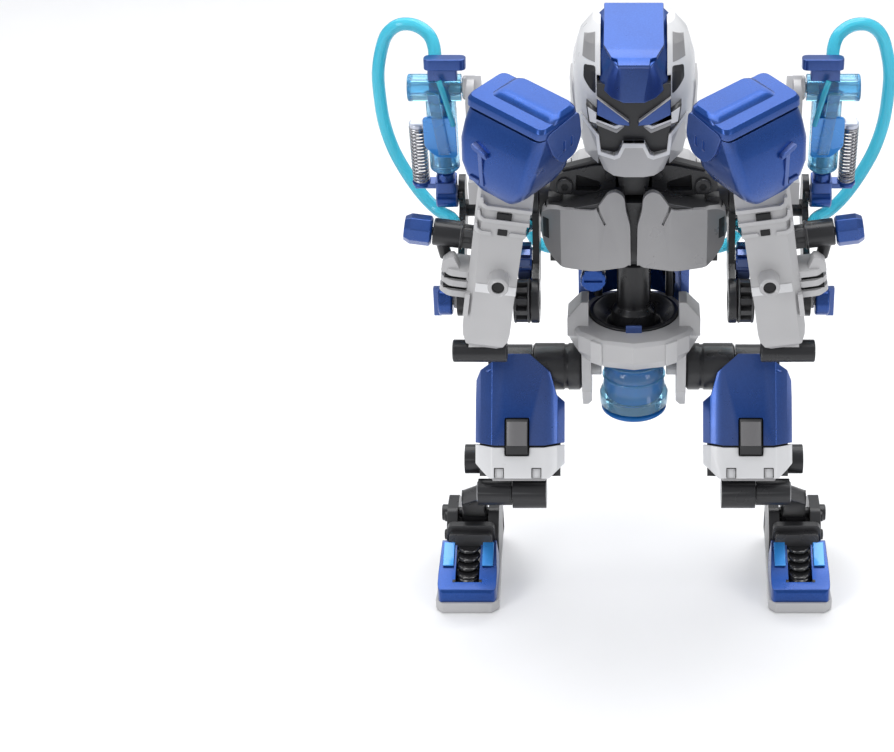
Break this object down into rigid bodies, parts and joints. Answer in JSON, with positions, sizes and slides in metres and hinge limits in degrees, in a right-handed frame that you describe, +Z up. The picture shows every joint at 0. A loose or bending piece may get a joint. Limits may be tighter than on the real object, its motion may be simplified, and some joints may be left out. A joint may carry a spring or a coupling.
{
  "type": "humanoid robot kit",
  "caption": "Humanoid boxing robot kit: armoured legs and head, turning torso, and forearms with gloves driven by fluid cylinders with return springs and flexible tubes.",
  "frame": {"origin": "middle of the bounding box, on the floor between the feet", "axes": "+Z up, the robot faces -Y, its left side is +X"},
  "size_m": [0.2008, 0.1029, 0.244],
  "materials": {
    "blue_shell": "pearl gloss",
    "pale_shell": "satin",
    "grey_shell": "satin",
    "black_frame": "satin",
    "clear_blue": "clear tinted plastic",
    "rod_white": "gloss",
    "spring_wire": "bright wire",
    "soft_tube": "clear tinted vinyl"
  },
  "bodies": {
    "pelvis": {"pelvis_ring": "pale_shell", "pelvis_bowl": "black_frame", "waist_guards": "blue_shell", "reservoir": "clear_blue", "reservoir_cap": "clear_blue", "hip_barrels": "black_frame"},
    "torso": {"chest_frame": "black_frame", "chest_plate_left": "grey_shell", "chest_plate_right": "grey_shell", "shoulder_yoke": "black_frame", "back_cover": "pale_shell", "back_tubes": "soft_tube"},
    "valve": {"valve_knob": "blue_shell"},
    "head": {"helmet_shell": "pale_shell", "helmet_crest": "blue_shell", "face_plate": "black_frame", "jaw_guard": "grey_shell", "eye_trim": "pale_shell"},
    "left_upper_arm": {"left_arm_frame": "black_frame", "left_elbow_tube": "soft_tube"},
    "left_gear": {"left_elbow_gear": "blue_shell"},
    "left_forearm": {"left_elbow_drum": "black_frame", "left_forearm_shell": "pale_shell", "left_side_bracket": "black_frame", "left_glove_shell": "blue_shell", "left_glove_cap": "blue_shell", "left_loop_tube": "soft_tube"},
    "left_side_nut": {"left_side_knob": "blue_shell"},
    "left_elbow_nut": {"left_elbow_knob": "blue_shell"},
    "left_barrel": {"left_cylinder": "clear_blue"},
    "left_rod": {"left_piston_rod": "rod_white", "left_return_spring": "spring_wire"},
    "left_thigh": {"left_thigh_frame": "black_frame", "left_thigh_shell": "blue_shell", "left_knee_guard": "pale_shell"},
    "left_shin_link": {"left_shin": "black_frame"},
    "left_foot": {"left_ankle_block": "black_frame", "left_foot_shell": "blue_shell", "left_foot_sole": "pale_shell"},
    "right_upper_arm": {"right_arm_frame": "black_frame", "right_elbow_tube": "soft_tube"},
    "right_gear": {"right_elbow_gear": "blue_shell"},
    "right_forearm": {"right_elbow_drum": "black_frame", "right_forearm_shell": "pale_shell", "right_side_bracket": "black_frame", "right_glove_shell": "blue_shell", "right_glove_cap": "blue_shell", "right_loop_tube": "soft_tube"},
    "right_side_nut": {"right_side_knob": "blue_shell"},
    "right_elbow_nut": {"right_elbow_knob": "blue_shell"},
    "right_barrel": {"right_cylinder": "clear_blue"},
    "right_rod": {"right_piston_rod": "rod_white", "right_return_spring": "spring_wire"},
    "right_thigh": {"right_thigh_frame": "black_frame", "right_thigh_shell": "blue_shell", "right_knee_guard": "pale_shell"},
    "right_shin_link": {"right_shin": "black_frame"},
    "right_foot": {"right_ankle_block": "black_frame", "right_foot_shell": "blue_shell", "right_foot_sole": "pale_shell"}
  },
  "joints": [
    {"name": "waist_turn", "type": "hinge", "parent": "pelvis", "child": "torso", "pos_m": [0, 0.0214, 0.145], "axis": [0, 0, 1], "range_deg": [-25, 25]},
    {"name": "valve_turn", "type": "hinge", "parent": "torso", "child": "valve", "pos_m": [-0.0158, 0.0114, 0.139], "axis": [0, 1, 0], "continuous": true},
    {"name": "head_tilt", "type": "hinge", "parent": "torso", "child": "head", "pos_m": [0, 0.0234, 0.188], "axis": [1, 0, 0], "range_deg": [-18, 0]},
    {"name": "left_shoulder", "type": "hinge", "parent": "torso", "child": "left_upper_arm", "pos_m": [0.038, 0.0234, 0.166], "axis": [1, 0, 0], "range_deg": [-4, 25], "deforming": ["back_tubes"]},
    {"name": "left_elbow", "type": "hinge", "parent": "left_upper_arm", "child": "left_forearm", "pos_m": [0.056, 0.0014, 0.131], "axis": [1, 0, 0], "range_deg": [0, 30], "deforming": ["left_elbow_tube"]},
    {"name": "left_gear_turn", "type": "hinge", "parent": "left_upper_arm", "child": "left_gear", "pos_m": [0.043, 0.0184, 0.1381], "axis": [1, 0, 0], "range_deg": [-30, 5]},
    {"name": "left_cylinder_swivel", "type": "hinge", "parent": "left_forearm", "child": "left_barrel", "pos_m": [0.073, 0.0134, 0.215], "axis": [1, 0, 0], "range_deg": [-2, 12], "deforming": ["left_loop_tube"]},
    {"name": "left_piston_stroke", "type": "slide", "parent": "left_barrel", "child": "left_rod", "axis": [0, 0.2, -0.9798], "range_m": [0, 0.0196], "deforming": ["left_return_spring"]},
    {"name": "left_side_nut_turn", "type": "hinge", "parent": "left_forearm", "child": "left_side_nut", "pos_m": [0.08145, -0.0066, 0.16548], "axis": [0.9903, 0, 0.1392], "continuous": true},
    {"name": "left_elbow_nut_turn", "type": "hinge", "parent": "left_forearm", "child": "left_elbow_nut", "pos_m": [0.073, 0.0014, 0.131], "axis": [1, 0, 0], "continuous": true},
    {"name": "left_hip", "type": "hinge", "parent": "pelvis", "child": "left_thigh", "pos_m": [0.046, 0.0214, 0.0906], "axis": [1, 0, 0], "range_deg": [-25, 20]},
    {"name": "left_knee", "type": "hinge", "parent": "left_thigh", "child": "left_shin_link", "pos_m": [0.052, -0.00563, 0.04735], "axis": [1, 0, 0], "range_deg": [-20, 30]},
    {"name": "left_ankle", "type": "hinge", "parent": "left_shin_link", "child": "left_foot", "pos_m": [0.066, 0.0134, 0.025], "axis": [1, 0, 0], "range_deg": [-15, 15]},
    {"name": "right_shoulder", "type": "hinge", "parent": "torso", "child": "right_upper_arm", "pos_m": [-0.038, 0.0234, 0.166], "axis": [1, 0, 0], "range_deg": [-4, 25]},
    {"name": "right_elbow", "type": "hinge", "parent": "right_upper_arm", "child": "right_forearm", "pos_m": [-0.056, 0.0014, 0.131], "axis": [1, 0, 0], "range_deg": [0, 30], "deforming": ["right_elbow_tube"]},
    {"name": "right_gear_turn", "type": "hinge", "parent": "right_upper_arm", "child": "right_gear", "pos_m": [-0.043, 0.0184, 0.1381], "axis": [1, 0, 0], "range_deg": [-30, 5]},
    {"name": "right_cylinder_swivel", "type": "hinge", "parent": "right_forearm", "child": "right_barrel", "pos_m": [-0.073, 0.0134, 0.215], "axis": [1, 0, 0], "range_deg": [-2, 12], "deforming": ["right_loop_tube"]},
    {"name": "right_piston_stroke", "type": "slide", "parent": "right_barrel", "child": "right_rod", "axis": [0, 0.2, -0.9798], "range_m": [0, 0.0196], "deforming": ["right_return_spring"]},
    {"name": "right_side_nut_turn", "type": "hinge", "parent": "right_forearm", "child": "right_side_nut", "pos_m": [-0.08145, -0.0066, 0.16548], "axis": [-0.9903, 0, 0.1392], "continuous": true},
    {"name": "right_elbow_nut_turn", "type": "hinge", "parent": "right_forearm", "child": "right_elbow_nut", "pos_m": [-0.073, 0.0014, 0.131], "axis": [1, 0, 0], "continuous": true},
    {"name": "right_hip", "type": "hinge", "parent": "pelvis", "child": "right_thigh", "pos_m": [-0.046, 0.0214, 0.0906], "axis": [1, 0, 0], "range_deg": [-25, 20]},
    {"name": "right_knee", "type": "hinge", "parent": "right_thigh", "child": "right_shin_link", "pos_m": [-0.052, -0.00563, 0.04735], "axis": [1, 0, 0], "range_deg": [-20, 30]},
    {"name": "right_ankle", "type": "hinge", "parent": "right_shin_link", "child": "right_foot", "pos_m": [-0.066, 0.0134, 0.025], "axis": [1, 0, 0], "range_deg": [-15, 15]}
  ],
  "couplings": [
    {"joint": "left_gear_turn", "follows": "left_elbow", "ratio": -0.91667},
    {"joint": "left_cylinder_swivel", "follows": "left_elbow", "ratio": 0.31},
    {"joint": "left_piston_stroke", "follows": "left_elbow", "m_per_rad": 0.0367},
    {"joint": "right_gear_turn", "follows": "right_elbow", "ratio": -0.91667},
    {"joint": "right_cylinder_swivel", "follows": "right_elbow", "ratio": 0.31},
    {"joint": "right_piston_stroke", "follows": "right_elbow", "m_per_rad": 0.0367}
  ]
}
